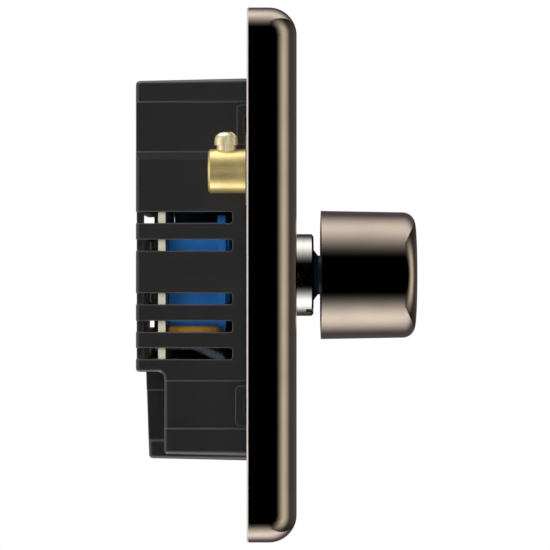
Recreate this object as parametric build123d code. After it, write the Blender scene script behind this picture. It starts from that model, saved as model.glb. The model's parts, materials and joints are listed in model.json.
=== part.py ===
from build123d import *
import math
import os

# Rotary push-on, push-off lamp dimmer on a raised metal wall plate.
# Row frame, millimetres: +Z up, +X right seen from the front, the front faces -Y.
# The origin is on the spindle's axis, in the plane of the wall behind the plate.

# Plate and what is fixed to it
PLATE_SIZE = 86.0
PLATE_DEPTH = 8.0
PLATE_SHEET = 1.2
PLATE_CORNER = 4.5
PLATE_EDGE = 4.45
GASKET_THICK = 0.25
GASKET_WIDTH = 5.6
FIXING_PITCH = 60.3
FIXING_HOLE_R = 1.95
FIXING_HEAD_R = 3.6
FIXING_SEAT_R = 4.6
FIXING_SEAT_DEPTH = 2.8

EARTH_X = -30.0
EARTH_Z = 17.0
EARTH_R = 3.6
EARTH_END_Y = 6.4
EARTH_BORE_R = 2.0
EARTH_BORE_DEPTH = 9.0
EARTH_SCREW_Y = 3.45
EARTH_SCREW_GAP = 0.6
EARTH_SCREW_REACH = 5.1
EARTH_HEAD_R = 1.95
EARTH_HEAD_HEIGHT = 2.2
EARTH_HEAD_DOME = 1.4
EARTH_SLOT_TURN = 50
STRAP_X = -36.5
STRAP_Z = (5.5, 22.6)
STRAP_THICK = 0.5

# Knob, spindle and bush
KNOB_BASE_Y = -12.5
KNOB_FRONT_Y = -28.9
KNOB_BASE_R = 11.17
KNOB_FRONT_R = 10.88
KNOB_EDGE = 2.2
KNOB_WALL = 1.5
KNOB_HUB_R = 5.0
KNOB_HUB_GAP = 1.1
KNOB_WEB = 1.6
KNOB_RIB = 1.2
SPINDLE_R = 3.0
SPINDLE_FRONT_Y = -26.8
SPINDLE_FLAT_Y = -14.5
SPINDLE_FLAT_Z = 1.5
DRIVE_SQUARE = 4.0
DRIVE_END_Y = 8.6
CLIP_R = 4.8
CLIP_GROOVE_R = 2.5
BUSH_R = 4.53
BUSH_NOSE_R = 3.4
BUSH_FRONT_Y = -13.0
BUSH_CONE_Y = (-12.0, -11.15)
BUSH_FLANGE_R = 8.0
BUSH_FLANGE_Y = 1.7
BUSH_BACK_Y = 3.2
THREAD_PITCH = 0.75
THREAD_DEPTH = 0.32
THREAD_TURNS = 11
NUT_R = 7.12
NUT_THICK = 3.2
NUT_SLOT = 1.8
NUT_SLOT_DEPTH = 1.3
NUT_SLOT_TURN = 27
RUNNING_GAP = 0.05
PUSH_TRAVEL = 1.2

# Potentiometer: sizes, and stations along the spindle's axis from front to back
POT_HALF = 9.0
POT_FLANGE_HALF = 10.3
POT_RING_R = 8.6
POT_CAVITY_R = 7.6
POT_MOUTH_R = 5.2
POT_RING_BACK_Y = 3.9
POT_CAVITY_Y = 4.4
POT_FLANGE_BACK_Y = 5.3
CARRIER_Y = (5.6, 6.6)
CARRIER_R = 6.8
CARRIER_HUB_BACK_Y = 7.0
BRUSH_Y = (6.62, 6.86)
BRUSH_R = (4.2, 6.5)
TRACK_Y = (7.15, 7.25)
TRACK_R = (4.5, 6.3)
TRACK_PLATE_BACK_Y = 8.05
CAM_Y = (8.4, 9.3)
CAM_R = (2.9, 5.6)
CAM_TEETH = 8
PLUNGER_Y = (8.65, 9.5)
PLUNGER_R = 2.6
PLUNGER_PIN_R = 1.3
PLUNGER_PIN_BACK_Y = 10.7
SPRING_FRONT_Y = 9.7
SPRING_LENGTH = 2.4
SPRING_R = 1.75
SPRING_WIRE_R = 0.17
SPRING_PITCH = 0.62
BRIDGE_Y = (10.3, 10.6)
BRIDGE_HALF_X = 4.6
BRIDGE_HALF_Z = 1.1
CONTACT_X = 3.7
CONTACT_Z = -4.5
CONTACT_R = 0.8
CONTACT_DOT = 0.3
FIXED_CONTACT_Y = (11.5, 12.3)
PIN_END_Y = 15.9
POT_PIN_ROWS = ((6.2, (-2.5, 0, 2.5)), (-6.2, (-2.5, 2.5)))

# Module housing
MODULE_HALF_X = 24.0
MODULE_TOP_Z = 32.7
MODULE_BOTTOM_Z = -30.1
LOBE_X = 14.0
LOBE_BOTTOM_Z = -33.3
LOBE_REAR_SLOPE = 0.6
MODULE_FRONT_Y = -6.6
SEAM_Y = -0.7
MODULE_BACK_Y = 18.6
MODULE_WALL = 1.6
MODULE_BACK_WALL = 1.15
MODULE_CORNER = 1.2
MODULE_BACK_EDGE = 0.7
DRAFT = 1.3
NOTCH_Y = 13.9
NOTCH_Z = -16.1
NOTCH_CORNER = 1.0
NOTCH_RIM_R = 0.6
RECESS_DEPTH = 0.8
RECESS_FRONT_Y = 14.5
RECESS_Z = (-29.5, -20.6)
CHANNEL_DEPTH = 0.9
CHANNEL_TOP = (20.5, 28.75)
CHANNEL_STEP = 0.35
CHANNEL_SLOPE = 1.5
CHANNEL_LOW = (-25.5, -17.6)
SLOT_HEIGHT = 1.9
SLOT_CORNER_R = 0.45
SLOT_FRONT_Y = 2.55
SLOT_WRAP_X = -20.2
SLOT_ROWS_Z = (9.55, 4.95, -3.95, -8.55, -13.05)
# The back's slots lie in the same rows; each row has its own openings along X.
SLOT_BACK_HALVES = ((-17.5, -3.5), (3.5, 12.0))
SLOT_BACK_XS = (
    ((-17.5, 20.2),),
    SLOT_BACK_HALVES,
    SLOT_BACK_HALVES,
    ((5.0, 20.2),),
    SLOT_BACK_HALVES,
)
TABS = ((-21.7, 2.1), (24.9, 1.85))
TAB_HEIGHT = 6.7
TAB_THICK = 0.85
TAB_WINDOW = 2.8
TAB_WINDOW_Y = (-1.2, 0.55)
HOOK = 0.7
BOARD_POSTS = ((-19.8, 29.0), (18.0, 29.0), (12.6, -12.9))
BOARD_POST_R = 1.3
BOARD_REST_X = (11.5, 13.0)
BOARD_REST_Z = (-6.3, 6.8)
LABEL_SIZE = (26.0, 12.0)
LABEL_Z = 22.0
LABEL_THICK = 0.1

# Line terminals along the module's lower edge
TERMINAL_XS = (-14.45, -4.95, 4.55)
TERMINAL_WIDTH = 7.1
TERMINAL_Y = (2.7, 12.1)
TERMINAL_Z = (-27.2, -17.8)
TERMINAL_BORE_R = 1.9
TERMINAL_BORE_Z = -21.2
TERMINAL_BORE_DEPTH = 8.0
TERMINAL_SCREW_Y = 7.0
SCREW_R = 1.6
SCREW_LENGTH = 6.2
SCREW_SLOT = 0.6
WIRE_R = 0.75
WIRE_XS = (-11.35, -4.95, 4.55)
WIRE_Z = -12.0

# Circuit board and the parts on it; each place is (x, z) on the board
BOARD_HALF_X = 21.5
BOARD_Z = (-14.5, 30.5)
BOARD_FRONT_Y = 13.75
BOARD_THICK = 1.2
LEAD_R = 0.35
LEAD_TAIL = 0.6
LEAD_HOLE_R = 0.5
PIN_HOLE_R = 0.6
SOLDER_HEIGHT = 0.9
SOLDER_SPREAD = 0.55
CHOKE_XZ = (-13.6, 21.5)
CHOKE_R = 4.7
CHOKE_CORE_R = 1.8
CHOKE_Y = 8.6
CHOKE_TURNS = 15
CHOKE_SWEEP = 300
CHOKE_WIRE_R = 0.36
CHOKE_LOOP_R = CHOKE_CORE_R + 0.42
CHOKE_LEADS = [(-19.6, 15.4), (-7.8, 15.4)]
CAP_FRONT_Y = 2.4
FILM_CAP_X = (-5.0, 12.0)
FILM_CAP_Z = (22.0, 29.0)
FILM_CAP_LEADS = [(-3.75, 25.5), (10.75, 25.5)]
ELECTROLYTIC_XZ = (-3.2, 16.6)
ELECTROLYTIC_R = 3.15
ELECTROLYTIC_LEADS = [(-4.2, 16.6), (-2.2, 16.6)]
DISC_CAP_X = -16.9
DISC_CAP_Y = 9.05
DISC_CAP_R = 4.55
DISC_CAP_Z = (-11.5, -8.5)
DISC_CAP_LEADS = [(-18.9, -10.0), (-14.9, -10.0)]
VARISTOR_R = 4.0
VARISTOR_X = (14.3, 17.7)
VARISTOR_Y = 8.6
VARISTOR_Z = 17.0
VARISTOR_LEADS = [(16.0, 14.5), (16.0, 19.5)]
FUSE_R = 2.0
FUSE_X = (2.2, 12.0)
FUSE_YZ = (10.4, 15.6)
FUSE_WIRE_R = 0.28
FUSE_LEADS = [(1.2, 15.6), (13.0, 15.6)]
HEATSINK_X = (20.3, 21.9)
HEATSINK_Y = (-4.6, BOARD_FRONT_Y - 0.1)
HEATSINK_Z = (-12.0, 26.0)
HEATSINK_LIP_X = 16.0
HEATSINK_LIP = 1.4
MOSFET_ZS = (-5.6, 5.6)
MOSFET_HALF = 5.0
MOSFET_X = (15.9, 19.0)
MOSFET_Y = (3.0, 10.0)
MOSFET_TAB_Y = -2.2
MOSFET_BOLT_Y = 0.2
MOSFET_LEAD_X = 18.4
MOSFET_LEAD_PITCH = 2.54
MOSFET_LEADS = [(MOSFET_LEAD_X, z + MOSFET_LEAD_PITCH * k) for z in MOSFET_ZS for k in (-1, 0, 1)]
CHIP_Z = 1.8
CHIP_HALF_X = 4.3
CHIP_HALF_Z = 1.95
CHIP_HEIGHT = 1.5
CHIP_PITCH = 1.27
CHIP_PINS = 7
RESISTOR_HALF_X = 0.8
RESISTOR_HALF_Z = 1.5
RESISTOR_HEIGHT = 1.1
RESISTOR_SPOTS = (
    (-9.0, 6.0),
    (9.5, 6.0),
    (-9.5, -3.9),
    (-6.2, -3.9),
    (5.5, -3.9),
    (9.0, -3.9),
    (0.0, 12.0),
    (4.0, 21.0),
    (-10.0, 9.4),
    (-10.0, -8.2),
)
COMPONENT_LEADS = (
    CHOKE_LEADS
    + FILM_CAP_LEADS
    + ELECTROLYTIC_LEADS
    + DISC_CAP_LEADS
    + VARISTOR_LEADS
    + FUSE_LEADS
    + MOSFET_LEADS
)
POT_PIN_XZ = [(x, z) for z, xs in POT_PIN_ROWS for x in xs]

BOARD_BACK_Y = BOARD_FRONT_Y + BOARD_THICK
PLATE_FRONT_Y = -PLATE_DEPTH
PLATE_INSIDE_Y = PLATE_FRONT_Y + PLATE_SHEET
HUGE = 100.0


def block(x, y, z):
    """A box between three pairs of limits."""
    size = (x[1] - x[0], y[1] - y[0], z[1] - z[0])
    middle = ((x[0] + x[1]) / 2, (y[0] + y[1]) / 2, (z[0] + z[1]) / 2)
    return Pos(*middle) * Box(*size)


def rod_y(radius, y, x=0.0, z=0.0):
    """A cylinder along Y between two limits."""
    turned = Rot(90, 0, 0) * Cylinder(radius, y[1] - y[0])
    return Pos(x, (y[0] + y[1]) / 2, z) * turned


def rod_z(radius, z, x=0.0, y=0.0):
    """A cylinder along Z between two limits."""
    return Pos(x, y, (z[0] + z[1]) / 2) * Cylinder(radius, z[1] - z[0])


def rod_x(radius, x, y=0.0, z=0.0):
    """A cylinder along X between two limits."""
    turned = Rot(0, 90, 0) * Cylinder(radius, x[1] - x[0])
    return Pos((x[0] + x[1]) / 2, y, z) * turned


def tube_y(outer, inner, y, x=0.0, z=0.0):
    """A ring along Y between two limits."""
    return rod_y(outer, y, x, z) - rod_y(inner, y, x, z)


def turned_y(outline):
    """A solid turned about the spindle's axis from (radius, y) points."""
    face = make_face(Polyline(*[(r, y, 0) for r, y in outline], close=True))
    return revolve(face, Axis.Y, 360)


def slab(sketch, y, taper=0.0):
    """A sketch in (x, z) extruded backwards, +Y, between two limits."""
    # The plane looks along +Y, so its own x runs towards -X.
    plane = Plane(origin=(0, y[0], 0), x_dir=(-1, 0, 0), z_dir=(0, 1, 0))
    return extrude(plane * mirror(sketch, Plane.YZ), y[1] - y[0], taper=taper)


def both_sides(shape):
    """A shape on the left, -X, together with its mirror image on the right."""
    return shape + mirror(shape, Plane.YZ)


# Plate group


def plate_shell(size, corner, edge, y):
    """A square slab with rounded corners and a rounded front edge."""
    shell = slab(RectangleRounded(size, size, corner), y)
    return fillet(shell.edges().group_by(Axis.Y)[0], edge)


def front_plate():
    outside = plate_shell(PLATE_SIZE, PLATE_CORNER, PLATE_EDGE, (PLATE_FRONT_Y, -GASKET_THICK))
    inside = plate_shell(
        PLATE_SIZE - 2 * PLATE_SHEET,
        PLATE_CORNER - PLATE_SHEET,
        PLATE_EDGE - PLATE_SHEET,
        (PLATE_INSIDE_Y, 0),
    )
    plate = outside - inside
    head_depth = FIXING_HEAD_R - FIXING_HOLE_R
    sink = turned_y(
        [
            (0, PLATE_FRONT_Y),
            (FIXING_HEAD_R, PLATE_FRONT_Y),
            (FIXING_HOLE_R, PLATE_FRONT_Y + head_depth),
            (FIXING_HOLE_R, 0),
            (0, 0),
        ]
    )
    for x in (-FIXING_PITCH / 2, FIXING_PITCH / 2):
        # The countersunk seat is pressed inwards around each fixing hole.
        plate += rod_y(FIXING_SEAT_R, (PLATE_INSIDE_Y, PLATE_FRONT_Y + FIXING_SEAT_DEPTH), x)
        plate -= Pos(x, 0, 0) * sink
    return plate - rod_y(BUSH_R + 0.2, (PLATE_FRONT_Y - 1, 0))


def wall_gasket():
    outer = PLATE_SIZE - 0.2
    ring = RectangleRounded(outer, outer, PLATE_CORNER - 0.1)
    ring -= RectangleRounded(outer - 2 * GASKET_WIDTH, outer - 2 * GASKET_WIDTH, 2)
    return slab(ring, (-GASKET_THICK, 0))


def earth_terminal():
    end = (PLATE_INSIDE_Y, EARTH_END_Y)
    pillar = chamfer(rod_y(EARTH_R, end).edges().group_by(Axis.Y)[-1], 0.35)
    pillar = Pos(EARTH_X, 0, EARTH_Z) * pillar
    pillar -= rod_y(EARTH_BORE_R, (EARTH_END_Y - EARTH_BORE_DEPTH, HUGE), EARTH_X, EARTH_Z)
    hole = (EARTH_Z, EARTH_Z + EARTH_R + 1)
    return pillar - rod_z(SCREW_R + RUNNING_GAP, hole, EARTH_X, EARTH_SCREW_Y)


def earth_screw():
    neck_z = EARTH_Z + EARTH_R + EARTH_SCREW_GAP
    top_z = neck_z + EARTH_HEAD_HEIGHT
    shank = rod_z(SCREW_R, (neck_z - EARTH_SCREW_REACH, neck_z))
    shank = chamfer(shank.edges().group_by(Axis.Z)[0], 0.6)
    head = rod_z(EARTH_HEAD_R, (neck_z, top_z))
    head = fillet(head.edges().group_by(Axis.Z)[-1], EARTH_HEAD_DOME)
    slot = Rot(0, 0, EARTH_SLOT_TURN) * Pos(0, 0, top_z) * Box(6, 0.7, 1.8)
    return Pos(EARTH_X, EARTH_SCREW_Y, 0) * (shank + head - slot)


def earth_strap():
    """A tinned strip beside the earth pillar, with its outer edge turned back."""
    y = (PLATE_INSIDE_Y, PLATE_INSIDE_Y + STRAP_THICK)
    strap = block((STRAP_X, EARTH_X - EARTH_R - RUNNING_GAP), y, STRAP_Z)
    flange_z = (EARTH_Z - 5.7, STRAP_Z[1])
    return strap + block((STRAP_X, STRAP_X + 0.6), (PLATE_INSIDE_Y, GASKET_THICK), flange_z)


def bush_nut():
    y = (PLATE_FRONT_Y - NUT_THICK, PLATE_FRONT_Y)
    nut = rod_y(NUT_R, y)
    nut = chamfer(nut.edges().group_by(Axis.Y)[0], 0.35)
    slots = Pos(0, y[0], 0) * Box(NUT_SLOT, 2 * NUT_SLOT_DEPTH, 2 * NUT_R + 2)
    slots -= rod_y(NUT_R - 1.6, (y[0] - 3, y[0] + 3))
    return nut - Rot(0, NUT_SLOT_TURN, 0) * slots - rod_y(BUSH_R + RUNNING_GAP, (y[0] - 1, y[1] + 1))


# Knob and spindle group


def knob_cap():
    back = (KNOB_BASE_Y, KNOB_FRONT_Y)
    outside = turned_y(
        [(0, back[0]), (KNOB_BASE_R, back[0]), (KNOB_FRONT_R, back[1]), (0, back[1])]
    )
    outside = fillet(outside.edges().group_by(Axis.Y)[0], KNOB_EDGE)
    inside = rod_y(KNOB_BASE_R - KNOB_WALL, (KNOB_FRONT_Y + KNOB_WALL, KNOB_BASE_Y + 1))
    return outside - inside


def knob_insert():
    """The nylon core pressed into the cap, with six ribs round its hub."""
    front = KNOB_FRONT_Y + KNOB_WALL
    web = (front, front + KNOB_WEB)
    base = BUSH_FRONT_Y - PUSH_TRAVEL - KNOB_HUB_GAP + 0.8
    reach = KNOB_BASE_R - KNOB_WALL
    insert = rod_y(reach, web)
    insert += rod_y(KNOB_HUB_R, (web[1], base))
    rib = (-KNOB_RIB / 2, KNOB_RIB / 2)
    for turn in (0, 60, 120):
        insert += Rot(0, turn, 0) * block((-reach, reach), (web[1], base - 1.5), rib)
    insert &= rod_y(reach, (web[0], base))
    return insert - rod_y(SPINDLE_R + 0.01, (SPINDLE_FRONT_Y - 0.1, base + 1))


def clip_groove():
    """Where the retaining clip sits along the spindle, just behind the bush."""
    return (BUSH_BACK_Y + RUNNING_GAP, BUSH_BACK_Y + 0.6)


def spindle():
    shoulder_y = BUSH_BACK_Y + 0.7
    shaft = rod_y(SPINDLE_R, (SPINDLE_FRONT_Y, shoulder_y))
    shaft = chamfer(shaft.edges().group_by(Axis.Y)[0], 0.4)
    flat_y = (SPINDLE_FRONT_Y, SPINDLE_FLAT_Y)
    flat = block((-SPINDLE_R, SPINDLE_R), flat_y, (SPINDLE_FLAT_Z, SPINDLE_R + 1))
    half = DRIVE_SQUARE / 2
    drive = block((-half, half), (shoulder_y, DRIVE_END_Y), (-half, half))
    return shaft - flat + drive - tube_y(SPINDLE_R + 1, CLIP_GROOVE_R, clip_groove())


def spindle_clip():
    """An E-shaped ring that stops the spindle coming out of the bush."""
    y = clip_groove()
    return tube_y(CLIP_R, CLIP_GROOVE_R, y) - block((-1.6, 1.6), (y[0] - 1, y[1] + 1), (-6, 0))


def pot_bush():
    """The threaded sleeve that the spindle runs in; its thread is a row of grooves."""
    bore = SPINDLE_R + RUNNING_GAP
    outline = [
        (bore, BUSH_FRONT_Y),
        (BUSH_NOSE_R, BUSH_FRONT_Y),
        (BUSH_NOSE_R, BUSH_CONE_Y[0]),
        (BUSH_R, BUSH_CONE_Y[1]),
        (BUSH_R, BUSH_FLANGE_Y),
        (BUSH_FLANGE_R, BUSH_FLANGE_Y),
        (BUSH_FLANGE_R, BUSH_BACK_Y),
        (bore, BUSH_BACK_Y),
    ]
    bush = turned_y(outline)
    root = BUSH_R - THREAD_DEPTH
    groove = turned_y([(BUSH_R + 0.2, -0.3), (root, -0.04), (root, 0.04), (BUSH_R + 0.2, 0.3)])
    first = BUSH_CONE_Y[1] + THREAD_PITCH
    for turn in range(THREAD_TURNS):
        bush -= Pos(0, first + turn * THREAD_PITCH, 0) * groove
    return bush


# Potentiometer and push switch


def pot_body():
    """The blue body: a round register, a square flange and a square can open at the back."""
    ring = rod_y(POT_RING_R, (BUSH_BACK_Y, POT_RING_BACK_Y))
    ring = fillet(ring.edges().group_by(Axis.Y)[0], 0.5)
    flange = RectangleRounded(2 * POT_FLANGE_HALF, 2 * POT_FLANGE_HALF, 2.0)
    can = RectangleRounded(2 * POT_HALF, 2 * POT_HALF, 1.2)
    body = ring + slab(flange, (POT_RING_BACK_Y, POT_FLANGE_BACK_Y))
    body += slab(can, (POT_FLANGE_BACK_Y, BOARD_FRONT_Y - 0.1))
    body -= rod_y(POT_MOUTH_R, (BUSH_BACK_Y - 1, POT_CAVITY_Y + 1))
    return body - rod_y(POT_CAVITY_R, (POT_CAVITY_Y, BOARD_FRONT_Y))


def wiper_carrier():
    disc = rod_y(CARRIER_R, CARRIER_Y) + tube_y(3.6, 2.0, (CARRIER_Y[1], CARRIER_HUB_BACK_Y))
    half = DRIVE_SQUARE / 2 + RUNNING_GAP
    return disc - block((-half, half), (CARRIER_Y[0] - 1, CARRIER_HUB_BACK_Y + 1), (-half, half))


def wiper_brush():
    """A sprung arc on the carrier with two fingers that ride on the track."""
    inner, outer = BRUSH_R
    arc = tube_y(outer, inner, BRUSH_Y)
    arc -= block((-outer - 1, outer + 1), (BRUSH_Y[0] - 1, BRUSH_Y[1] + 1), (-outer - 1, 2.2))
    for side in (-1, 1):
        arc += rod_y(0.5, (BRUSH_Y[0], TRACK_Y[0] - 0.05), side * 1.2, sum(TRACK_R) / 2)
    return arc


def track_plate():
    return tube_y(POT_CAVITY_R - 0.02, 3.4, (TRACK_Y[1], TRACK_PLATE_BACK_Y))


def resistive_track():
    """A horseshoe band, open over 60 degrees at the bottom."""
    band = tube_y(TRACK_R[1], TRACK_R[0], TRACK_Y)
    wedge = make_face(Polyline((0, 0), (-5, -5 * math.sqrt(3)), (5, -5 * math.sqrt(3)), close=True))
    return band - slab(wedge, (TRACK_Y[0] - 0.1, TRACK_Y[1] + 0.1))


def push_plunger():
    """The plunger that the spindle's end presses into the switch."""
    pin = rod_y(PLUNGER_PIN_R, (PLUNGER_Y[1], PLUNGER_PIN_BACK_Y))
    return rod_y(PLUNGER_R, PLUNGER_Y) + pin


def ratchet_cam():
    """A ring of teeth that steps round as the plunger goes in."""
    inner, outer = CAM_R
    cam = tube_y(outer, inner, CAM_Y)
    tooth = Pos((inner + outer) / 2, CAM_Y[1] + 0.2, 0) * Box(2.4, 0.4, 1.1)
    for step in range(CAM_TEETH):
        cam += Rot(0, 360 * step / CAM_TEETH, 0) * tooth
    return cam


def moving_contact():
    """A sprung bridge with a contact dot at each end."""
    x = (-BRIDGE_HALF_X, BRIDGE_HALF_X)
    z = (CONTACT_Z - BRIDGE_HALF_Z, CONTACT_Z + BRIDGE_HALF_Z)
    bridge = block(x, BRIDGE_Y, z)
    for side in (-1, 1):
        dot = (BRIDGE_Y[1], BRIDGE_Y[1] + CONTACT_DOT)
        bridge += rod_y(CONTACT_R, dot, side * CONTACT_X, CONTACT_Z)
    return bridge


def fixed_contacts():
    """Two silver-faced posts that the moving contact bridges."""
    posts = [rod_y(CONTACT_R, FIXED_CONTACT_Y, side * CONTACT_X, CONTACT_Z) for side in (-1, 1)]
    return Compound(children=posts)


def return_spring():
    path = Helix(pitch=SPRING_PITCH, height=SPRING_LENGTH, radius=SPRING_R)
    section = Plane(origin=path.position_at(0), z_dir=path.tangent_at(0)) * Circle(SPRING_WIRE_R)
    coil = sweep(section, path)
    # The helix is wound about Z, then laid along Y between the plunger and the base.
    return Pos(0, SPRING_FRONT_Y, 0) * Rot(-90, 0, 0) * coil


def pot_base():
    base = slab(RectangleRounded(14.6, 14.6, 6.0), (FIXED_CONTACT_Y[1], BOARD_FRONT_Y - 0.15))
    return base & rod_y(POT_CAVITY_R - 0.02, (FIXED_CONTACT_Y[1] - 1, BOARD_FRONT_Y))


def pot_pins():
    pins = []
    for x, z in POT_PIN_XZ:
        y = (BOARD_FRONT_Y - 0.15, PIN_END_Y)
        pins.append(block((x - 0.4, x + 0.4), y, (z - 0.25, z + 0.25)))
    return Compound(children=pins)


# Module housing


def module_outline(inset=0.0):
    """The module's outline in (x, z), with the deeper lobe at its right-hand side."""
    right = MODULE_HALF_X - inset
    top = MODULE_TOP_Z - inset
    low = MODULE_BOTTOM_Z + inset
    lobe = LOBE_X + inset
    lobe_low = LOBE_BOTTOM_Z + inset
    corners = [(-right, low), (lobe, low), (lobe, lobe_low), (right, lobe_low), (right, top), (-right, top)]
    face = Sketch() + make_face(Polyline(*corners, close=True))
    outer = face.vertices().filter_by(lambda v: abs(v.Y - low) > 0.01 or v.X < 0)
    return fillet(outer, max(MODULE_CORNER - inset, 0.5))


def latch_tab(z, end_y):
    """A latch tab at the left wall's seam, with the window its hook shows through."""
    half = TAB_HEIGHT / 2
    inner = -MODULE_HALF_X + TAB_THICK
    tab = block((-MODULE_HALF_X, inner), (SEAM_Y - 2, end_y), (z - half, z + half))
    tab = fillet(tab.edges().filter_by(Axis.X).group_by(Axis.Y)[-1], 0.8)
    return tab - block((-HUGE, inner + 1), TAB_WINDOW_Y, tab_window(z))


def tab_window(z):
    return (z - TAB_WINDOW / 2, z + TAB_WINDOW / 2)


def module_base():
    """The front half of the housing, with the posts that carry the board and terminals."""
    base = slab(module_outline(), (MODULE_FRONT_Y, SEAM_Y))
    floor = MODULE_FRONT_Y + MODULE_BACK_WALL
    base -= slab(module_outline(MODULE_WALL), (floor, SEAM_Y))
    base += rod_y(9.0, (floor, BUSH_FLANGE_Y))
    for x in TERMINAL_XS:
        base += block((x - 2.5, x + 2.5), (floor, TERMINAL_Y[0]), (-26.5, -18.5))
    for x, z in BOARD_POSTS:
        base += rod_y(BOARD_POST_R, (floor, BOARD_FRONT_Y), x, z)
    for z, end_y in TABS:
        base += both_sides(latch_tab(z, end_y))
        front = (TAB_WINDOW_Y[0], SEAM_Y + 0.1)
        base -= both_sides(block((-HUGE, -MODULE_HALF_X + 1), front, tab_window(z)))
    return base - rod_y(BUSH_R + 0.1, (MODULE_FRONT_Y - 1, BUSH_FLANGE_Y + 1))


def side_channels():
    """The two guide channels down one side, the upper one with a sloped lower wall."""
    wall = -MODULE_HALF_X + CHANNEL_DEPTH
    out = -MODULE_HALF_X - 2
    low, high = CHANNEL_TOP
    slope_z = low - CHANNEL_SLOPE
    slope_x = -MODULE_HALF_X - 0.1
    outline = [
        (out, high),
        (wall, high),
        (wall, low),
        (wall - CHANNEL_STEP, low),
        (slope_x, slope_z),
        (out, slope_z),
    ]
    reach = (SEAM_Y - 1, MODULE_BACK_Y + 1)
    channels = slab(make_face(Polyline(*outline, close=True)), reach)
    channels += block((out, wall), reach, CHANNEL_LOW)
    channels += channel_rim(wall)
    # The channel floors lean inwards with the drafted wall.
    pivot = Pos(-MODULE_HALF_X, SEAM_Y, 0)
    return pivot * Rot(0, 0, -DRAFT) * pivot.inverse() * channels


def channel_rim(wall):
    """Rounds the lower channel's floor where it runs out at the notch."""
    r = NOTCH_RIM_R
    corner = block((wall - 1, wall + r), (NOTCH_Y - r, NOTCH_Y + 1), CHANNEL_LOW)
    return corner - rod_z(r, CHANNEL_LOW, wall + r, NOTCH_Y - r)


def side_slots():
    """One side's cooling slots, which run round the corner a little way into the back."""
    slots = Part()
    half = SLOT_HEIGHT / 2
    x = (-MODULE_HALF_X - 2, SLOT_WRAP_X)
    for z in SLOT_ROWS_Z:
        slot = block(x, (SLOT_FRONT_Y, MODULE_BACK_Y + 1), (z - half, z + half))
        slots += fillet(slot.edges().filter_by(Axis.X).group_by(Axis.Y)[0], SLOT_CORNER_R)
    return slots


def back_slots():
    """The slots through the back wall, some of which meet those round the right corner."""
    slots = Part()
    half = SLOT_HEIGHT / 2
    y = (MODULE_BACK_Y - MODULE_BACK_WALL - 0.5, MODULE_BACK_Y + 1)
    for z, openings in zip(SLOT_ROWS_Z, SLOT_BACK_XS):
        for x in openings:
            slots += block(x, y, (z - half, z + half))
    return slots


def lobe_rear():
    """Leans the lobe's back face forwards towards its lower edge."""
    low = LOBE_BOTTOM_Z - 1
    x = -MODULE_HALF_X - 1
    side = [
        (x, MODULE_BACK_Y, NOTCH_Z),
        (x, MODULE_BACK_Y + 1, NOTCH_Z),
        (x, MODULE_BACK_Y + 1, low),
        (x, MODULE_BACK_Y - LOBE_REAR_SLOPE, low),
    ]
    return extrude(make_face(Polyline(*side, close=True)), -2 * x, dir=(1, 0, 0))


def module_cover():
    """The rear half of the housing, notched along its lower edge for the conductors."""
    cover = slab(module_outline(), (SEAM_Y, MODULE_BACK_Y), DRAFT)
    cover -= lobe_rear()
    rear = cover.edges().filter_by(lambda e: e.center().Y > MODULE_BACK_Y - LOBE_REAR_SLOPE - 0.1)
    crease = rear.filter_by(Axis.X).filter_by(lambda e: abs(e.center().Z - NOTCH_Z) < 0.1)
    cover = fillet(rear - crease, MODULE_BACK_EDGE)
    cavity = slab(module_outline(MODULE_WALL), (SEAM_Y, MODULE_BACK_Y - MODULE_BACK_WALL), DRAFT)
    cavity -= block(
        (-HUGE, LOBE_X + MODULE_BACK_WALL),
        (NOTCH_Y - MODULE_BACK_WALL, HUGE),
        (-HUGE, NOTCH_Z + MODULE_BACK_WALL),
    )
    notch = block((-HUGE, LOBE_X), (NOTCH_Y, HUGE), (-HUGE, NOTCH_Z))
    inner_edge = notch.edges().filter_by(Axis.X).group_by(Axis.Z)[-1].group_by(Axis.Y)[0]
    cover -= fillet(inner_edge, NOTCH_CORNER)
    rim = cover.edges().filter_by(lambda e: e.center().X < 1 - MODULE_HALF_X and e.center().Y > NOTCH_Y - 1)
    rim = rim.filter_by(lambda e: e.center().Z < NOTCH_Z + 1.2 and e.center().Y < MODULE_BACK_Y - 1)
    cover = fillet(rim, NOTCH_RIM_R)
    cover -= cavity
    cover -= both_sides(side_channels())
    cover -= both_sides(side_slots())
    cover -= back_slots()
    # The lobe's inner wall has a shallow recess that runs out at the back.
    cover -= block((LOBE_X - 1, LOBE_X + RECESS_DEPTH), (RECESS_FRONT_Y, MODULE_BACK_Y + 1), RECESS_Z)
    for x in TERMINAL_XS:
        cover -= rod_y(TERMINAL_BORE_R + 0.4, (NOTCH_Y - 3, NOTCH_Y + 1), x, TERMINAL_BORE_Z)
        cover -= rod_z(SCREW_R + 0.6, (MODULE_BOTTOM_Z - 2, MODULE_BOTTOM_Z + 2.1), x, TERMINAL_SCREW_Y)
    wall = -MODULE_HALF_X + CHANNEL_DEPTH
    for z, _ in TABS:
        hook = block((wall - HOOK, wall + 0.2), (SEAM_Y + 0.02, SEAM_Y + 0.5), (z - 1.25, z + 1.25))
        cover += both_sides(hook)
    inside = (BOARD_BACK_Y, MODULE_BACK_Y - MODULE_BACK_WALL + 0.2)
    for x, z in BOARD_POSTS:
        cover += rod_y(BOARD_POST_R, inside, x, z)
    return cover + block(BOARD_REST_X, inside, BOARD_REST_Z)


def rating_label():
    """A blank paper label on the back, above the cooling slots."""
    label = RectangleRounded(*LABEL_SIZE, 1.0)
    return Pos(0, MODULE_BACK_Y, LABEL_Z) * slab(label, (0, LABEL_THICK))


# Terminals


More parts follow.
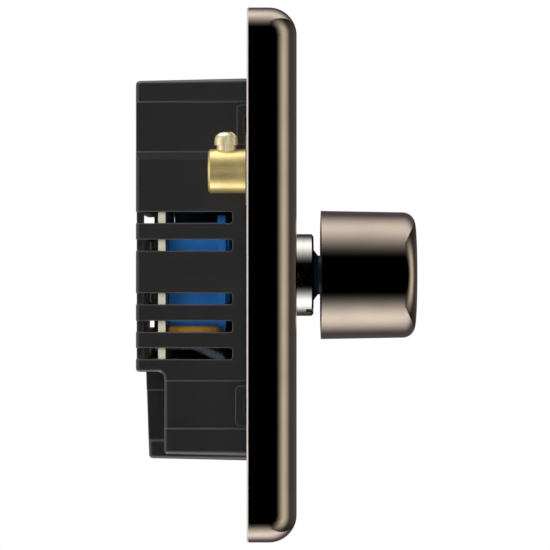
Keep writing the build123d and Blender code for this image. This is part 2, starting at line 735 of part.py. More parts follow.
def line_terminal(x):
    half = TERMINAL_WIDTH / 2
    pillar = block((x - half, x + half), TERMINAL_Y, TERMINAL_Z)
    pillar = fillet(pillar.edges().filter_by(Axis.Y), 0.8)
    bore = (TERMINAL_Y[1] - TERMINAL_BORE_DEPTH, TERMINAL_Y[1] + 1)
    pillar -= rod_y(TERMINAL_BORE_R, bore, x, TERMINAL_BORE_Z)
    return pillar - rod_z(SCREW_R + RUNNING_GAP, (TERMINAL_Z[0] - 1, TERMINAL_BORE_Z), x, TERMINAL_SCREW_Y)


def terminal_screw(x):
    tip = TERMINAL_BORE_Z - TERMINAL_BORE_R - 0.1
    screw = rod_z(SCREW_R, (tip - SCREW_LENGTH, tip))
    screw = chamfer(screw.edges().group_by(Axis.Z)[-1], 0.4)
    screw -= Pos(0, 0, tip - SCREW_LENGTH) * Box(5, SCREW_SLOT, 1.6)
    return Pos(x, TERMINAL_SCREW_Y, 0) * screw


def terminal_wire(x):
    """The insulated lead from a terminal's top to the board."""
    foot_y = 4.5
    elbow_y = 9.2
    top = TERMINAL_Z[1]
    points = [
        (x, foot_y, top),
        (x, foot_y, WIRE_Z - 2.2),
        (x, elbow_y, WIRE_Z),
        (x, BOARD_BACK_Y + 0.4, WIRE_Z),
    ]
    section = Plane(origin=points[0], z_dir=(0, 0, 1)) * Circle(WIRE_R)
    return sweep(section, FilletPolyline(*points, radius=1.0))


# Board and its components


def lead_holes():
    """Every through hole in the board, as (x, z, radius)."""
    holes = [(x, z, PIN_HOLE_R) for x, z in POT_PIN_XZ]
    holes += [(x, WIRE_Z, WIRE_R + 0.05) for x in WIRE_XS]
    holes += [(x, z, LEAD_HOLE_R) for x, z in COMPONENT_LEADS]
    return holes


def circuit_board():
    low, high = BOARD_Z
    outline = Pos(0, (low + high) / 2) * RectangleRounded(2 * BOARD_HALF_X, high - low, 1.0)
    board = slab(outline, (BOARD_FRONT_Y, BOARD_BACK_Y))
    for x, z, radius in lead_holes():
        board -= rod_y(radius, (BOARD_FRONT_Y - 1, BOARD_BACK_Y + 1), x, z)
    return board


def lead(x, z, y):
    """A component lead from y through the board."""
    return rod_y(LEAD_R, (y, BOARD_BACK_Y + LEAD_TAIL), x, z)


def leads_from(y, places):
    """All of one component's leads."""
    leads = Part()
    for x, z in places:
        leads += lead(x, z, y)
    return leads


def choke_core():
    core = Rot(90, 0, 0) * Torus(CHOKE_R, CHOKE_CORE_R)
    return Pos(CHOKE_XZ[0], CHOKE_Y, CHOKE_XZ[1]) * core


def choke_winding():
    """The turns of enamelled wire round the ring, each one a closed loop."""
    centre = Pos(CHOKE_XZ[0], CHOKE_Y, CHOKE_XZ[1])
    loop = Pos(CHOKE_R, 0, 0) * Torus(CHOKE_LOOP_R, CHOKE_WIRE_R)
    loops = []
    for turn in range(CHOKE_TURNS):
        around = CHOKE_SWEEP * turn / (CHOKE_TURNS - 1) - 60
        # The loop lies across the ring, which turns about Y.
        loops.append(centre * Rot(0, around, 0) * loop)
    return Compound(children=loops)


def choke_leads():
    leads = [lead(x, z, BOARD_FRONT_Y - 1.5) for x, z in CHOKE_LEADS]
    return Compound(children=leads)


def film_capacitor():
    body = block(FILM_CAP_X, (CAP_FRONT_Y, BOARD_FRONT_Y - 0.1), FILM_CAP_Z)
    body = fillet(body.edges().filter_by(Axis.Y), 0.6)
    return body + leads_from(BOARD_FRONT_Y - 1, FILM_CAP_LEADS)


def electrolytic_capacitor():
    """A can with a rolled groove near its foot."""
    can = rod_y(ELECTROLYTIC_R, (CAP_FRONT_Y, BOARD_FRONT_Y - 0.2), *ELECTROLYTIC_XZ)
    can = fillet(can.edges().group_by(Axis.Y)[0], 0.5)
    groove = (BOARD_FRONT_Y - 2.6, BOARD_FRONT_Y - 2.0)
    can -= tube_y(ELECTROLYTIC_R + 0.5, ELECTROLYTIC_R - 0.3, groove, *ELECTROLYTIC_XZ)
    return can + leads_from(BOARD_FRONT_Y - 1, ELECTROLYTIC_LEADS)


def disc_capacitor():
    disc = rod_z(DISC_CAP_R, DISC_CAP_Z, DISC_CAP_X, DISC_CAP_Y)
    disc = fillet(disc.edges(), 0.8)
    return disc + leads_from(DISC_CAP_Y + 0.9, DISC_CAP_LEADS)


def varistor():
    disc = rod_x(VARISTOR_R, VARISTOR_X, VARISTOR_Y, VARISTOR_Z)
    disc = fillet(disc.edges(), 1.0)
    return disc + leads_from(VARISTOR_Y + 0.9, VARISTOR_LEADS)


def fuse():
    """A ceramic tube fuse, each end's wire bent down into the board."""
    y, z = FUSE_YZ
    body = rod_x(FUSE_R, FUSE_X, y, z)
    for (x, _), end_x in zip(FUSE_LEADS, FUSE_X):
        inward = 0.5 if x < end_x else -0.5
        body += rod_x(FUSE_WIRE_R, sorted((x, end_x + inward)), y, z)
        body += lead(x, z, y - 0.4)
    return body


def heatsink():
    """An aluminium angle: a wall beside the transistors and a lip in front of them."""
    front = (HEATSINK_Y[0], HEATSINK_Y[0] + HEATSINK_LIP)
    plate = block(HEATSINK_X, (front[1], HEATSINK_Y[1]), HEATSINK_Z)
    plate += block((HEATSINK_LIP_X, HEATSINK_X[1]), front, HEATSINK_Z)
    for z in MOSFET_ZS:
        plate -= rod_x(1.6, (HEATSINK_X[0] - 1, HEATSINK_X[1] + 1), MOSFET_BOLT_Y, z)
    return plate


def mosfet(z):
    """A flat power transistor: metal tab against the heatsink, plastic body, three legs."""
    span = (z - MOSFET_HALF, z + MOSFET_HALF)
    back = MOSFET_X[1]
    tab = block((back, HEATSINK_X[0]), (MOSFET_TAB_Y, MOSFET_Y[1]), span)
    tab -= rod_x(1.75, (back - 1, HEATSINK_X[0] + 1), MOSFET_BOLT_Y, z)
    body = tab + block(MOSFET_X, MOSFET_Y, span)
    leg_x = (MOSFET_LEAD_X - 0.3, MOSFET_LEAD_X + 0.3)
    leg_y = (MOSFET_Y[1] - 0.5, BOARD_BACK_Y + LEAD_TAIL)
    for step in (-1, 0, 1):
        middle = z + MOSFET_LEAD_PITCH * step
        body += block(leg_x, leg_y, (middle - LEAD_R, middle + LEAD_R))
    return body


def heatsink_screws():
    """Two slotted pan-head screws that hold the transistors' tabs."""
    y = MOSFET_BOLT_Y
    head_x = (MOSFET_X[1] - 1.8, MOSFET_X[1])
    screws = []
    for z in MOSFET_ZS:
        shank = rod_x(1.45, (head_x[0], HEATSINK_X[1] - 0.05), y, z)
        head = rod_x(2.6, head_x, y, z)
        head = fillet(head.edges().group_by(Axis.X)[0], 0.7)
        slot = block((head_x[0] - 1, head_x[0] + 0.7), (y - 0.35, y + 0.35), (z - 4, z + 4))
        screws.append(shank + head - slot)
    return Compound(children=screws)


def controller_chip():
    """A small-outline chip on the board's back, with a row of pins on each long side."""
    foot = BOARD_BACK_Y
    z = (CHIP_Z - CHIP_HALF_Z, CHIP_Z + CHIP_HALF_Z)
    chip = block((-CHIP_HALF_X, CHIP_HALF_X), (foot + 0.1, foot + 0.1 + CHIP_HEIGHT), z)
    for number in range(CHIP_PINS):
        x = CHIP_PITCH * (number - (CHIP_PINS - 1) / 2)
        for side in (-1, 1):
            pin_z = sorted((CHIP_Z + side * (CHIP_HALF_Z - 0.05), CHIP_Z + side * (CHIP_HALF_Z + 1.05)))
            chip += block((x - 0.2, x + 0.2), (foot, foot + 0.3), pin_z)
    return chip


def surface_resistors():
    chips = []
    for x, z in RESISTOR_SPOTS:
        across = (x - RESISTOR_HALF_X, x + RESISTOR_HALF_X)
        along = (z - RESISTOR_HALF_Z, z + RESISTOR_HALF_Z)
        chips.append(block(across, (BOARD_BACK_Y, BOARD_BACK_Y + RESISTOR_HEIGHT), along))
    return Compound(children=chips)


def solder_joints():
    """A cone of solder round every lead end at the back of the board."""
    foot = BOARD_BACK_Y
    cones = []
    for x, z, radius in lead_holes():
        cone = Rot(-90, 0, 0) * Cone(radius + SOLDER_SPREAD, radius + 0.05, SOLDER_HEIGHT)
        cone = Pos(x, foot + SOLDER_HEIGHT / 2, z) * cone
        cones.append(cone - rod_y(radius + 0.02, (foot - 1, foot + 2), x, z))
    return Compound(children=cones)


def build_nodes():
    nodes = {
        "front_plate": front_plate,
        "wall_gasket": wall_gasket,
        "earth_terminal": earth_terminal,
        "earth_screw": earth_screw,
        "earth_strap": earth_strap,
        "bush_nut": bush_nut,
        "knob_cap": knob_cap,
        "knob_insert": knob_insert,
        "spindle": spindle,
        "spindle_clip": spindle_clip,
        "pot_bush": pot_bush,
        "pot_body": pot_body,
        "pot_base": pot_base,
        "pot_pins": pot_pins,
        "wiper_carrier": wiper_carrier,
        "wiper_brush": wiper_brush,
        "track_plate": track_plate,
        "resistive_track": resistive_track,
        "push_plunger": push_plunger,
        "return_spring": return_spring,
        "ratchet_cam": ratchet_cam,
        "moving_contact": moving_contact,
        "fixed_contacts": fixed_contacts,
        "module_base": module_base,
        "module_cover": module_cover,
        "rating_label": rating_label,
        "circuit_board": circuit_board,
        "choke_core": choke_core,
        "choke_winding": choke_winding,
        "choke_leads": choke_leads,
        "film_capacitor": film_capacitor,
        "electrolytic_capacitor": electrolytic_capacitor,
        "disc_capacitor": disc_capacitor,
        "varistor": varistor,
        "fuse": fuse,
        "heatsink": heatsink,
        "heatsink_screws": heatsink_screws,
        "controller_chip": controller_chip,
        "surface_resistors": surface_resistors,
        "solder_joints": solder_joints,
    }
    shapes = {name: make() for name, make in nodes.items()}
    for number, z in enumerate(MOSFET_ZS, 1):
        shapes[f"transistor_{number}"] = mosfet(z)
    for number, (x, wire_x) in enumerate(zip(TERMINAL_XS, WIRE_XS), 1):
        shapes[f"line_terminal_{number}"] = line_terminal(x)
        shapes[f"terminal_screw_{number}"] = terminal_screw(x)
        shapes[f"terminal_wire_{number}"] = terminal_wire(wire_x)
    return shapes


os.makedirs("parts", exist_ok=True)
for name, shape in build_nodes().items():
    export_step(shape, f"parts/{name}.step")
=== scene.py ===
import json
import math
from collections import namedtuple

import bpy
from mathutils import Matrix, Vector


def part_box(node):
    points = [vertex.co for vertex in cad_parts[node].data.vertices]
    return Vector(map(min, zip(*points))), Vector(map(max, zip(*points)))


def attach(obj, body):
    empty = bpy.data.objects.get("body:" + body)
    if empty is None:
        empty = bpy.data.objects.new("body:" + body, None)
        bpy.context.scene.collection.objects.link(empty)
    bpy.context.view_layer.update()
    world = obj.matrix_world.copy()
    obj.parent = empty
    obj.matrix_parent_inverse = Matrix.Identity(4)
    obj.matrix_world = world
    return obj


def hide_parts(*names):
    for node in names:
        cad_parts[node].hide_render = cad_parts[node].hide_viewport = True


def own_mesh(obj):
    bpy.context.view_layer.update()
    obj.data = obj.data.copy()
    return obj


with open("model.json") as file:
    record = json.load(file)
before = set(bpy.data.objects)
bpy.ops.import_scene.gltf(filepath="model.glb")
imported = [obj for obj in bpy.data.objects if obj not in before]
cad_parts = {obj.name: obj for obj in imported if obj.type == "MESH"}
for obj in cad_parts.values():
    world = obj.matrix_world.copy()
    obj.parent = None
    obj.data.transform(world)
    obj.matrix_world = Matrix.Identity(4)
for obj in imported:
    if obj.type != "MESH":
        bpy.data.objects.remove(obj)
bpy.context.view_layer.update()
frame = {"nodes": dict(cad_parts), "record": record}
NODES = frame["nodes"]
MM = 0.001


# ---------------------------------------------------------------- nodes


# A colour mix node's sockets, which share their names with its other kinds' sockets.
MIX_FACTOR = 0
MIX_FIRST = 6
MIX_SECOND = 7
MIX_RESULT = 2


class Nodes:
    """Short calls that add nodes to a material's or the world's tree, instead of long node code."""

    def __init__(self, tree):
        self.tree = tree

    def set(self, socket, value):
        """Links a socket to another node's output, or gives it a plain value or colour."""
        if isinstance(value, bpy.types.NodeSocket):
            self.tree.links.new(value, socket)
        elif socket.type == "RGBA" and len(value) == 3:
            socket.default_value = (*value, 1.0)
        else:
            socket.default_value = value

    def add(self, kind, **inputs):
        """A new node, with the inputs that are given by name."""
        node = self.tree.nodes.new(kind)
        for key, value in inputs.items():
            self.set(node.inputs[key.replace("_", " ")], value)
        return node

    def math(self, operation, *values, clamp=False):
        node = self.add("ShaderNodeMath")
        node.operation = operation
        node.use_clamp = clamp
        for socket, value in zip(node.inputs, values):
            self.set(socket, value)
        return node.outputs[0]

    def vector_math(self, operation, *vectors):
        node = self.add("ShaderNodeVectorMath")
        node.operation = operation
        for socket, vector in zip(node.inputs, vectors):
            self.set(socket, vector)
        return node

    def mix(self, factor, first, second):
        node = self.add("ShaderNodeMix")
        node.data_type = "RGBA"
        self.set(node.inputs[MIX_FACTOR], factor)
        self.set(node.inputs[MIX_FIRST], first)
        self.set(node.inputs[MIX_SECOND], second)
        return node.outputs[MIX_RESULT]

    def ramp(self, factor, stops, change="LINEAR"):
        """Colours or plain values at rising positions along a factor."""
        node = self.add("ShaderNodeValToRGB", Fac=factor)
        node.color_ramp.interpolation = change
        elements = node.color_ramp.elements
        elements[0].position = stops[0][0]
        elements[1].position = stops[-1][0]
        for position, _ in stops[1:-1]:
            elements.new(position)
        for element, (_, value) in zip(elements, stops):
            colour = value if isinstance(value, tuple) else (value, value, value)
            element.color = (*colour, 1.0)
        return node.outputs["Color"]


# ---------------------------------------------------------------- materials


# Noise stays mostly between these two, so a change spread between them is seen in full.
NOISE_LOW = 0.3
NOISE_HIGH = 0.7
NOISE_PEAK = 0.75
# How alike the true and the rounded normal are at a fully marked edge, lighter from scuffing and a painted
# highlight, and clear of it.
EDGE_WORN_AND_LIT = 0.86
EDGE_CLEAR = 0.995
# How many times finer than usual marks and layers are along X, Y and Z.
GROUND_MARKS = (1.0, 12.0, 1.0)
SAWN_MARKS = (1.0, 1.0, 10.0)
TURNED_MARKS = (0.3, 8.0, 0.3)
DRAWN_LINES = (2.0, 0.12, 2.0)
SHEET_LAYERS = (1.0, 6.0, 1.0)


class Look(Nodes):
    """A node material under construction."""

    def __init__(self, name):
        self.material = bpy.data.materials.new(name)
        self.material.use_nodes = True
        super().__init__(self.material.node_tree)
        self.shader = self.tree.nodes["Principled BSDF"]
        self.place = self.add("ShaderNodeTexCoord").outputs["Object"]

    def shade(self, **inputs):
        for key, value in inputs.items():
            self.set(self.shader.inputs[key.replace("_", " ")], value)

    def noise(self, size, detail=3.0, stretch=None):
        """Noise whose features are about size metres across, from 0 to 1."""
        place = self.place
        if stretch:
            place = self.add("ShaderNodeMapping", Vector=place, Scale=stretch).outputs["Vector"]
        return self.add("ShaderNodeTexNoise", Vector=place, Scale=1.0 / size, Detail=detail).outputs["Fac"]

    def spread(self, noise, low, high, top=NOISE_HIGH):
        """Two colours or values, changing from one to the other with the noise."""
        return self.ramp(noise, [(NOISE_LOW, low), (top, high)])

    def bump(self, height, depth, strength, rounding=None):
        """Fine relief, over edges that catch the light as if rounded to a small radius."""
        node = self.add("ShaderNodeBump", Height=height, Distance=depth, Strength=strength)
        if rounding:
            self.set(node.inputs["Normal"], self.rounded(rounding))
        self.shade(Normal=node.outputs["Normal"])

    def rounded(self, radius):
        return self.add("ShaderNodeBevel", Radius=radius).outputs["Normal"]

    def edges(self, radius):
        """0 on flat faces and rising to 1 along edges, for scuffed edges and a painted edge highlight."""
        true_normal = self.add("ShaderNodeNewGeometry").outputs["Normal"]
        alike = self.vector_math("DOT_PRODUCT", self.rounded(radius), true_normal)
        return self.ramp(alike.outputs["Value"], [(EDGE_WORN_AND_LIT, 1.0), (EDGE_CLEAR, 0.0)])


def shades(colour, low, high):
    """A colour made darker and lighter."""
    return tuple(c * low for c in colour), tuple(c * high for c in colour)


def polished_metal(name, colour, rough, haze, streak=None, grazing=1.0):
    """Plated or turned metal with a faint haze and rubbing marks, duller at grazing angles."""
    look = Look(name)
    dark, light = shades(colour, low=0.93, high=1.04)
    look.shade(Metallic=1.0, Specular_Tint=(grazing, grazing, grazing))
    look.shade(Base_Color=look.spread(look.noise(6 * MM, detail=4.0, stretch=streak), dark, light))
    fine = look.noise(0.12 * MM, detail=2.0, stretch=streak)
    look.shade(Roughness=look.spread(fine, rough, rough + haze, top=NOISE_PEAK))
    look.bump(look.noise(0.4 * MM, stretch=streak), depth=0.002 * MM, strength=0.35)
    return look.material


PLASTIC_GRAIN = 0.09 * MM
# Radius of the rounded edges and of the lighter band along them, which is partly scuffing and partly a
# painted highlight.
EDGE_RADIUS = 0.35 * MM
# The least that the painted edge highlight and scuffing make an edge paler by.
EDGE_WEAR_AND_HIGHLIGHT_LIFT = 0.004


def moulded_plastic(name, colour, rough, wear_and_highlight=1.6, shine=0.5):
    """Injection-moulded plastic with a spark-eroded grain and lighter edges, about the given factor times
    as bright: in part scuffing, in part a painted highlight.
    """
    look = Look(name)
    dark, light = shades(colour, low=0.85, high=1.15)
    body = look.spread(look.noise(4 * MM, detail=4.0), dark, light)
    # Edge colour: lighter from scuffing and from a painted highlight standing in for light caught on the
    # rims.
    rubbed_and_lit = tuple(min(1.0, c * wear_and_highlight + EDGE_WEAR_AND_HIGHLIGHT_LIFT) for c in colour)
    patchy = look.spread(look.noise(1.2 * MM), 0.55, 1.0)
    worn_and_lit = look.math("MULTIPLY", look.edges(EDGE_RADIUS), patchy)
    look.shade(Base_Color=look.mix(worn_and_lit, body, rubbed_and_lit))
    grain = look.noise(PLASTIC_GRAIN, detail=2.0)
    look.shade(Roughness=look.spread(grain, rough - 0.05, rough + 0.07))
    look.shade(Specular_IOR_Level=shine)
    look.bump(grain, depth=0.01 * MM, strength=0.5, rounding=EDGE_RADIUS)
    return look.material


def dipped_resin(name, colour, rough=0.25):
    """A glossy dipped coating with orange-peel ripple."""
    look = Look(name)
    dark, light = shades(colour, low=0.75, high=1.2)
    look.shade(Base_Color=look.spread(look.noise(1.5 * MM), dark, light))
    look.shade(Roughness=look.spread(look.noise(0.5 * MM), rough, rough + 0.12))
    look.bump(look.noise(0.7 * MM, detail=1.0), depth=0.03 * MM, strength=0.5)
    look.shade(Coat_Weight=0.3)
    return look.material


EPOXY_LAYERS = ((0.25, (0.50, 0.47, 0.36)), (0.70, (0.74, 0.72, 0.58)))


def board_material():
    """Glass-epoxy sheet, pale at its cut edge with woven layers."""
    look = Look("glass_epoxy_board")
    layers = look.noise(0.35 * MM, stretch=SHEET_LAYERS)
    look.shade(Base_Color=look.ramp(layers, EPOXY_LAYERS))
    look.shade(Roughness=look.spread(look.noise(0.3 * MM), 0.45, 0.65))
    look.bump(layers, depth=0.02 * MM, strength=0.4)
    return look.material


def plain_card(name, colour, rough=0.7):
    """Paper or thin sheet with a fibrous surface."""
    look = Look(name)
    dark, light = shades(colour, low=0.94, high=1.03)
    look.shade(Base_Color=look.spread(look.noise(0.8 * MM, detail=6.0), dark, light))
    look.shade(Roughness=look.spread(look.noise(0.2 * MM), rough - 0.06, rough + 0.06))
    look.bump(look.noise(0.1 * MM, detail=4.0), depth=0.006 * MM, strength=0.5)
    return look.material


BRASS_EDGE = 0.12 * MM


def brass_material(name, colour, rough, film):
    """Drawn brass: fine lines along the piece, a slow change of tarnish and a thin dull film."""
    look = Look(name)
    dark, light = shades(colour, low=0.90, high=1.05)
    look.shade(Metallic=1.0 - film)
    look.shade(Base_Color=look.spread(look.noise(2.5 * MM, detail=4.0), dark, light))
    lines = look.noise(0.5 * MM, detail=0.0, stretch=DRAWN_LINES)
    look.shade(Roughness=look.spread(lines, rough, rough + 0.08, top=NOISE_PEAK))
    look.bump(lines, depth=0.001 * MM, strength=0.25, rounding=BRASS_EDGE)
    return look.material


BLACK_NICKEL = (0.56, 0.475, 0.40)
BRIGHT_NICKEL = (0.97, 0.95, 0.90)
BRASS = (1.0, 0.81, 0.36)
SCREW_BRASS = (1.0, 0.90, 0.60)
NEAR_BLACK = (0.0135, 0.0135, 0.0145)

# One look for each material slot of the record.
LOOKS = {
    "black_nickel": polished_metal("black_nickel", BLACK_NICKEL, rough=0.045, haze=0.02),
    "gasket_white": plain_card("gasket_sheet", (0.62, 0.57, 0.53), rough=0.5),
    "brass": brass_material("drawn_brass", BRASS, rough=0.29, film=0.20),
    "brass_screw": brass_material("screw_brass", SCREW_BRASS, rough=0.20, film=0.42),
    "tinned": polished_metal("tinned_copper", (0.80, 0.74, 0.71), rough=0.35, haze=0.1),
    "nickel": polished_metal(
        "bright_nickel", BRIGHT_NICKEL, rough=0.06, haze=0.06, streak=TURNED_MARKS, grazing=0.25
    ),
    "black_core": moulded_plastic("knob_core_nylon", (0.012, 0.012, 0.013), rough=0.45),
    "steel": polished_metal(
        "ground_steel", (0.52, 0.52, 0.53), rough=0.25, haze=0.1, streak=GROUND_MARKS
    ),
    "spring_steel": polished_metal("spring_wire", (0.45, 0.45, 0.46), rough=0.28, haze=0.08),
    "navy_plastic": moulded_plastic("bush_plastic", (0.010, 0.020, 0.042), rough=0.38),
    "blue_plastic": moulded_plastic("pot_plastic", (0.042, 0.27, 0.80), rough=0.42),
    # Edges about eight times as bright: mostly a painted highlight along the rims.
    "black_plastic": moulded_plastic("module_plastic", NEAR_BLACK, rough=0.36, wear_and_highlight=8.0, shine=1.0),
    "white_plastic": moulded_plastic("acetal", (0.72, 0.72, 0.69), rough=0.40),
    "bronze": polished_metal("spring_bronze", (0.72, 0.48, 0.26), rough=0.25, haze=0.1),
    "silver": polished_metal("contact_silver", (0.85, 0.85, 0.83), rough=0.25, haze=0.1),
    "carbon": moulded_plastic("carbon_print", (0.012, 0.012, 0.012), rough=0.6),
    "phenolic": plain_card("phenolic_sheet", (0.16, 0.07, 0.025), rough=0.5),
    "board": board_material(),
    "solder": polished_metal("solder", (0.70, 0.70, 0.71), rough=0.28, haze=0.14),
    "ferrite": moulded_plastic("painted_ferrite", (0.55, 0.42, 0.03), rough=0.5),
    "enamel_wire": polished_metal("enamelled_copper", (0.72, 0.26, 0.09), rough=0.22, haze=0.08),
    "yellow_case": moulded_plastic("yellow_case", (0.60, 0.40, 0.015), rough=0.4),
    "amber_dip": dipped_resin("amber_dip", (0.30, 0.15, 0.025)),
    "blue_dip": dipped_resin("blue_dip", (0.006, 0.03, 0.16)),
    "can_sleeve": dipped_resin("can_sleeve", (0.010, 0.010, 0.014), rough=0.3),
    "ceramic_white": dipped_resin("ceramic", (0.68, 0.65, 0.58), rough=0.3),
    "aluminium": polished_metal(
        "cut_aluminium", (0.72, 0.72, 0.73), rough=0.35, haze=0.12, streak=SAWN_MARKS
    ),
    "device_black": moulded_plastic("package_epoxy", (0.018, 0.018, 0.019), rough=0.5),
    "wire_sleeve": dipped_resin("wire_sleeve", (0.13, 0.15, 0.18), rough=0.2),
    "zinc_screw": polished_metal("zinc_screw", (0.68, 0.68, 0.66), rough=0.3, haze=0.1),
    "paper": plain_card("label_paper", (0.70, 0.70, 0.68)),
}


def dress_cad_nodes():
    """Puts each record slot's better material on its CAD nodes."""
    for part in frame["record"]["subparts"]:
        piece = NODES[part["node"]]
        for spot in piece.material_slots:
            spot.material = LOOKS[part["material_slot"]]


# ---------------------------------------------------------------- pieces


SPRING_PITCH = 0.62 * MM
SPRING_WIRE_RADIUS = 0.17 * MM
SPRING_STEPS_PER_TURN = 24
WIRE_SIDES = 10


def tube_along(points, radius, sides):
    """A closed round wire along a line of points that winds about the Y axis."""
    vertices = []
    faces = []
    for index, point in enumerate(points):
        before = points[max(index - 1, 0)]
        after = points[min(index + 1, len(points) - 1)]
        along = (after - before).normalized()
        outward = Vector((point.x, 0, point.z)).normalized()
        across = along.cross(outward).normalized()
        for side in range(sides):
            angle = 2 * math.pi * side / sides
            vertices.append(point + radius * (math.cos(angle) * outward + math.sin(angle) * across))
    for ring in range(len(points) - 1):
        for side in range(sides):
            first = ring * sides + side
            second = ring * sides + (side + 1) % sides
            faces.append((first, second, second + sides, first + sides))
    faces.append(tuple(range(sides - 1, -1, -1)))
    faces.append(tuple(range((len(points) - 1) * sides, len(points) * sides)))
    return vertices, faces


def pressed_spring():
    """The return spring: a coil between the plunger and the base, carried with the plunger in place of the
    CAD spring.
    """
    low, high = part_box("return_spring")
    radius = (high.x - low.x) / 2 - SPRING_WIRE_RADIUS
    start = low.y + SPRING_WIRE_RADIUS
    length = high.y - low.y - 2 * SPRING_WIRE_RADIUS
    steps = round(length / SPRING_PITCH * SPRING_STEPS_PER_TURN)
    points = []
    for step in range(steps + 1):
        angle = 2 * math.pi * step / SPRING_STEPS_PER_TURN
        y = start + length * step / steps
        points.append(Vector((radius * math.cos(angle), y, radius * math.sin(angle))))
    vertices, faces = tube_along(points, SPRING_WIRE_RADIUS, WIRE_SIDES)
    mesh = bpy.data.meshes.new("return_spring_coil")
    mesh.from_pydata(vertices, [], faces)
    mesh.materials.append(LOOKS["spring_steel"])
    for face in mesh.polygons:
        is_side = len(face.vertices) == 4
        face.use_smooth = is_side
    spring = bpy.data.objects.new("return_spring_coil", mesh)
    bpy.context.scene.collection.objects.link(spring)
    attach(spring, "plunger")
    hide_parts("return_spring")
    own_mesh(spring)


# ---------------------------------------------------------------- studio


RIGHT_ANGLE = math.radians(90)
CAMERA_DISTANCE = 0.500
CAMERA_Y = -0.00452
CAMERA_NEAR_LIMIT = 0.01
FRAME_WIDTH_AT_OBJECT = 0.0958
SENSOR = 36.0
FLOOR_Z = -0.12
FLOOR_SIZE = 6.0
FILL_SIZE = 0.3
FILL_WATTS = 3.0
FILL_PLACE = (-0.6, 0.06, 0.04)
WHITE = (1.0, 1.0, 1.0)

# The sky's light depends on two numbers from 0 to 1. Turn is half of one minus the cosine of the
# angle from the camera's own direction. Sideways is Y squared over the sum of Y and Z squared.
LIGHT_PEAK = 1.4
# A dark line parts the side soft box from those above and below it. It lies where sideways is turn
# less BORDER_START, or BORDER_LEAST if that's more. The light fades to it over BORDER_WIDTH from
# above and below and over BORDER_FADE from the side, and it keeps BORDER_GLOW of that light.
BORDER_START = 0.20
BORDER_LEAST = 0.06
BORDER_WIDTH = 0.05
BORDER_FADE = 0.75
BORDER_GLOW = 0.15
# How fast the light goes over from the boxes below to those above as a direction rises.
RISE_RATE = 8.0
# A brighter box beside the wall's end of the object: the turn where it starts, how fast it comes
# in with turn and with Y, and its gain.
REAR_BOX_START = 0.38
REAR_BOX_TURN_RATE = 10.0
REAR_BOX_Y_RATE = 4.0
REAR_BOX_GAIN = 3.5
FRONT_TINT = (1.0, 0.98, 0.96)
SIDE_TINT = (1.0, 0.98, 0.88)
REAR_TINT = (1.08, 0.90, 1.04)
REAR_TINT_START = 0.70
REAR_TINT_RATE = 8.0
# Keeps sideways from dividing by zero straight towards the camera and straight away from it.
TINY = 1e-5

STRAIGHT_BEHIND = 180

# A soft box starts, is full and ends at angles in degrees from the camera's own direction. It gives
# its light where it's full. Past its end the light goes from one low level to another behind.
SoftBox = namedtuple("SoftBox", "starts full ends light past behind")
BOX_ABOVE = SoftBox(starts=30, full=95, ends=145, light=1.1, past=0.1, behind=0.1)
BOX_BELOW = SoftBox(starts=30, full=85, ends=135, light=1.25, past=0.1, behind=0.1)
BOX_BESIDE = SoftBox(starts=30, full=65, ends=100, light=0.85, past=0.1, behind=0.25)


class Sky(Nodes):
    """The world's light under construction, from the direction that is looked in."""

    def __init__(self, tree):
        super().__init__(tree)
        direction = self.add("ShaderNodeTexCoord").outputs["Generated"]
        self.x, self.y, self.z = self.add("ShaderNodeSeparateXYZ", Vector=direction).outputs
        self.turn = self.math("MULTIPLY_ADD", self.x, 0.5, 0.5)

    def box(self, box):
        """A soft box's brightness, eased along turn from nothing to its full light and away again."""
        levels = (
            (box.starts, 0.0),
            (box.full, box.light),
            (box.ends, box.past),
            (STRAIGHT_BEHIND, box.behind),
        )
        stops = [((1 - math.cos(math.radians(angle))) / 2, level / LIGHT_PEAK) for angle, level in levels]
        return self.ramp(self.turn, stops, change="EASE")

    def tinted(self, colour, tint):
        return self.vector_math("MULTIPLY", colour, tint).outputs[0]

    def dimmed(self, colour, share):
        node = self.vector_math("SCALE", colour)
        self.set(node.inputs["Scale"], share)
        return node.outputs[0]

    def beyond_border(self):
        """Sideways past the dark line: above 0 in the side box, below 0 in those above and below."""
        y_squared = self.math("MULTIPLY", self.y, self.y)
        z_squared = self.math("MULTIPLY", self.z, self.z)
        across = self.math("ADD", self.math("ADD", y_squared, z_squared), TINY)
        sideways = self.math("DIVIDE", y_squared, across)
        past_start = self.math("SUBTRACT", self.turn, BORDER_START)
        return self.math("SUBTRACT", sideways, self.math("MAXIMUM", past_start, BORDER_LEAST))

    def soft_boxes(self):
        """The boxes above, below and beside the object, with the dark line between them."""
        beyond = self.beyond_border()
        in_side_box = self.math("GREATER_THAN", beyond, 0.0)
        upness = self.math("MULTIPLY_ADD", self.z, RISE_RATE, 0.5, clamp=True)
        upright = self.mix(upness, self.box(BOX_BELOW), self.box(BOX_ABOVE))
        beside = self.tinted(self.box(BOX_BESIDE), SIDE_TINT)
        light = self.mix(in_side_box, upright, beside)
        width = self.math("MULTIPLY_ADD", in_side_box, BORDER_FADE - BORDER_WIDTH, BORDER_WIDTH)
        clear = self.math("DIVIDE", self.math("ABSOLUTE", beyond), width, clamp=True)
        return self.mix(clear, self.dimmed(light, BORDER_GLOW), light)

    def rear_gain(self):
        """1, rising to the brighter box beside the wall's end of the object."""
        rearward = self.math("MULTIPLY", self.y, REAR_BOX_Y_RATE, clamp=True)
        past_start = self.math("SUBTRACT", self.turn, REAR_BOX_START)
        inside = self.math("MULTIPLY", past_start, REAR_BOX_TURN_RATE, clamp=True)
        return self.math("MULTIPLY_ADD", self.math("MULTIPLY", rearward, inside), REAR_BOX_GAIN, 1.0)

    def rear_tint(self):
        """The light's colour, from the camera's side to behind the object."""
        offset = -REAR_TINT_START * REAR_TINT_RATE
        rear = self.math("MULTIPLY_ADD", self.turn, REAR_TINT_RATE, offset, clamp=True)
        return self.mix(rear, FRONT_TINT, REAR_TINT)


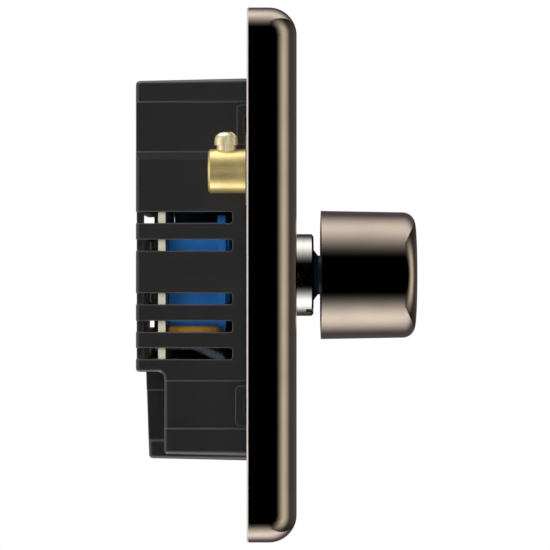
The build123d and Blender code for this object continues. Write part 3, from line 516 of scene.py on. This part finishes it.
def studio_world():
    """White to the camera, and soft boxes round a dark camera side for everything else."""
    world = bpy.data.worlds.new("studio")
    bpy.context.scene.world = world
    world.use_nodes = True
    world.node_tree.nodes.clear()
    sky = Sky(world.node_tree)
    light = sky.dimmed(sky.soft_boxes(), sky.rear_gain())
    coloured = sky.tinted(light, sky.rear_tint())
    soft = sky.add("ShaderNodeBackground", Color=coloured, Strength=LIGHT_PEAK)
    plain = sky.add("ShaderNodeBackground", Color=WHITE)
    choose = sky.add("ShaderNodeMixShader", Fac=sky.add("ShaderNodeLightPath").outputs["Is Camera Ray"])
    sky.set(choose.inputs[1], soft.outputs[0])
    sky.set(choose.inputs[2], plain.outputs[0])
    sky.add("ShaderNodeOutputWorld", Surface=choose.outputs[0])


def fill_light():
    """A broad soft light from the camera's side that matt surfaces catch and mirrors don't show."""
    data = bpy.data.lights.new("fill", "AREA")
    data.shape = "DISK"
    data.size = FILL_SIZE
    data.energy = FILL_WATTS
    lamp = bpy.data.objects.new("fill", data)
    bpy.context.scene.collection.objects.link(lamp)
    lamp.location = FILL_PLACE
    lamp.rotation_euler = Vector(FILL_PLACE).to_track_quat("Z", "Y").to_euler()
    lamp.visible_camera = False
    lamp.visible_glossy = False


def pale_floor():
    """A plain pale floor well below the part, seen by the camera only and only from above."""
    half = FLOOR_SIZE / 2
    around = ((-half, -half), (half, -half), (half, half), (-half, half))
    mesh = bpy.data.meshes.new("floor")
    mesh.from_pydata([(x, y, FLOOR_Z) for x, y in around], [], [range(len(around))])
    floor = bpy.data.objects.new("floor", mesh)
    bpy.context.scene.collection.objects.link(floor)
    look = Look("floor")
    look.shade(Base_Color=(0, 0, 0), Roughness=1.0, Specular_IOR_Level=0.0)
    look.shade(Emission_Color=WHITE, Emission_Strength=1.0)
    underside = look.add("ShaderNodeNewGeometry").outputs["Backfacing"]
    look.shade(Alpha=look.math("SUBTRACT", 1.0, underside))
    mesh.materials.append(look.material)
    floor.visible_diffuse = False
    floor.visible_glossy = False
    floor.visible_transmission = False
    floor.visible_shadow = False


def side_camera():
    """Looks straight along +X at the part's left side."""
    data = bpy.data.cameras.new("camera")
    camera = bpy.data.objects.new("camera", data)
    bpy.context.scene.collection.objects.link(camera)
    camera.location = (-CAMERA_DISTANCE, CAMERA_Y, 0)
    camera.rotation_euler = (RIGHT_ANGLE, 0, -RIGHT_ANGLE)
    data.sensor_width = SENSOR
    data.lens = SENSOR * CAMERA_DISTANCE / FRAME_WIDTH_AT_OBJECT
    data.clip_start = CAMERA_NEAR_LIMIT
    bpy.context.scene.camera = camera


# ---------------------------------------------------------------- scene


dress_cad_nodes()
pressed_spring()
studio_world()
fill_light()
pale_floor()
side_camera()
bpy.context.scene.view_settings.view_transform = "Standard"
bpy.context.view_layer.update()
